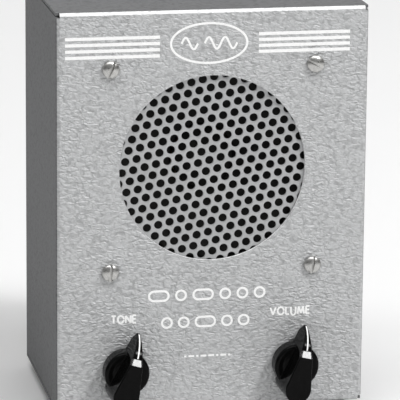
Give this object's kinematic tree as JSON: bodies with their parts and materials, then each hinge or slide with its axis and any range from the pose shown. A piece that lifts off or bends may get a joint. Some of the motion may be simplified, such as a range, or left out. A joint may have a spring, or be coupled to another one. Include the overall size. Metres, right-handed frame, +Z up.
{
  "type": "code practice oscillator",
  "caption": "Upright sheet-metal box with a round perforated loudspeaker opening and two black pointer knobs; a valve tone oscillator for Morse code practice.",
  "frame": {"origin": "centre of the whole object's bounding box at the plane that its rubber feet stand on", "axes": "+X to the right seen from the front, +Y from the front panel into the case, +Z up"},
  "size_m": [0.127, 0.1138, 0.1701],
  "materials": {
    "hammertone_paint": "hammertone enamel with a wavy metallic texture",
    "cover_paint": "satin grey enamel",
    "grille_steel": "satin grey enamel on perforated steel",
    "nickel": "bright nickel plate",
    "knob_bakelite": "polished black moulding with a white pointer line",
    "rubber": "matt moulded rubber",
    "felt": "pressed felt",
    "basket_steel": "dull plated pressed steel",
    "cone_paper": "pressed paper pulp",
    "copper": "enamelled copper wire",
    "spider_cloth": "varnished cloth",
    "magnet_paint": "dark enamel",
    "phenolic": "laminated phenolic board",
    "pot_metal": "plated pressed steel",
    "shaft_brass": "turned brass",
    "steel": "plain plated steel",
    "aluminium": "satin sheet",
    "valve_glass": "clear glass envelope",
    "lamination": "dark stacked laminations",
    "winding_paper": "varnished paper wrap",
    "capacitor_can": "bright drawn can",
    "ceramic": "vitreous coating",
    "wax_paper": "waxed paper tube",
    "resistor_brown": "moulded carbon composition body",
    "lead_cloth": "cloth-covered wire"
  },
  "bodies": {
    "case": {"cabinet_shell": "hammertone_paint", "back_cover": "cover_paint", "speaker_grille": "grille_steel", "cover_screw_tl": "nickel", "cover_screw_tr": "nickel", "cover_screw_bl": "nickel", "cover_screw_br": "nickel", "speaker_screw_tl": "nickel", "speaker_screw_tr": "nickel", "speaker_screw_bl": "nickel", "speaker_screw_br": "nickel", "speaker_nut_tl": "nickel", "speaker_nut_tr": "nickel", "speaker_nut_bl": "nickel", "speaker_nut_br": "nickel", "tone_pot_nut": "nickel", "volume_pot_nut": "nickel", "chassis_screw_left": "nickel", "chassis_screw_right": "nickel", "foot_front_left": "rubber", "foot_front_right": "rubber", "foot_rear_left": "rubber", "foot_rear_right": "rubber", "cord_grommet": "rubber", "speaker_gasket": "felt", "speaker_basket": "basket_steel", "speaker_spider": "spider_cloth", "speaker_magnet": "magnet_paint", "speaker_lug_board": "phenolic", "rectifier_socket": "phenolic", "output_socket": "phenolic", "tag_strip": "phenolic", "key_terminal_board": "phenolic", "tone_pot_body": "pot_metal", "volume_pot_body": "pot_metal", "power_switch": "pot_metal", "terminal_screw_left": "shaft_brass", "terminal_screw_right": "shaft_brass", "transformer_strap": "steel", "chassis_bracket": "aluminium", "rectifier_valve": "valve_glass", "output_valve": "valve_glass", "transformer_core": "lamination", "transformer_winding": "winding_paper", "filter_capacitor": "capacitor_can", "dropping_resistor": "ceramic", "coupling_capacitor": "wax_paper", "tone_capacitor": "wax_paper", "cathode_resistor": "resistor_brown", "speaker_lead_a": "lead_cloth", "speaker_lead_b": "lead_cloth"},
    "tone_control": {"tone_knob": "knob_bakelite", "tone_knob_setscrew": "steel", "tone_pot_shaft": "shaft_brass"},
    "volume_control": {"volume_knob": "knob_bakelite", "volume_knob_setscrew": "steel", "volume_pot_shaft": "shaft_brass"},
    "cone_assembly": {"speaker_cone": "cone_paper", "speaker_dust_cap": "cone_paper", "voice_coil": "copper"}
  },
  "joints": [
    {"name": "tone_knob_turn", "type": "hinge", "parent": "case", "child": "tone_control", "pos_m": [-0.0358, -0.03895, 0.0229], "axis": [0, 1, 0], "range_deg": [-167, 133]},
    {"name": "volume_knob_turn", "type": "hinge", "parent": "case", "child": "volume_control", "pos_m": [0.0344, -0.03895, 0.0229], "axis": [0, 1, 0], "range_deg": [-163, 137]},
    {"name": "cone_travel", "type": "slide", "parent": "case", "child": "cone_assembly", "axis": [0, 1, 0], "range_m": [-0.0008, 0.0008], "stiffness_N_per_m": 800}
  ]
}
